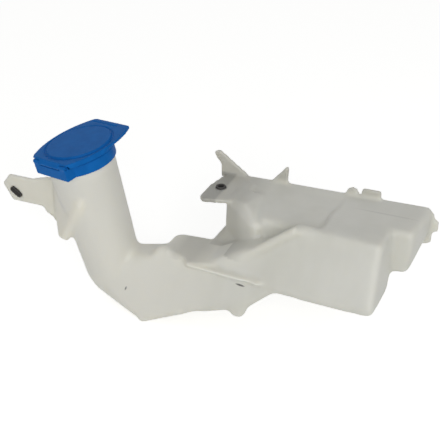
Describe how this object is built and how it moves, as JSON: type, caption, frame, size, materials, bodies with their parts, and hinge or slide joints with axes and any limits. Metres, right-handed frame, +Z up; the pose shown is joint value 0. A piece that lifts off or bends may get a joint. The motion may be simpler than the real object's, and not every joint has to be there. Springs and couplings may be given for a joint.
{
  "type": "washer fluid reservoir",
  "caption": "Blow-moulded milky tank with a stepped body, a channel to a leaning filler neck, fixing brackets and a blue flip-top filler cap; holds screen washer fluid.",
  "frame": {"origin": "centre of the flat underside of the front sump, on the shelf that carries the tank; the elbow hangs past that shelf's edge", "axes": "+Z up; +X along the tank, away from the filler neck; +Y from the leaning front face towards the back wall"},
  "size_m": [0.4192, 0.1545, 0.1917],
  "materials": {
    "tank": "milky natural polyethylene, satin",
    "cap": "blue moulded polypropylene, satin gloss",
    "rubber": "black moulded rubber, matt"
  },
  "bodies": {
    "reservoir": {"tank": "tank", "cap_ring": "cap", "slot_bush": "rubber", "lug_grommet": "rubber"},
    "lid": {"cap_lid": "cap", "lid_seal": "rubber"}
  },
  "joints": [
    {"name": "lid_hinge", "type": "hinge", "parent": "reservoir", "child": "lid", "pos_m": [-0.25236, -0.06083, 0.11178], "axis": [0.9371, -0.3238, 0.1307], "range_deg": [0, 110]}
  ]
}
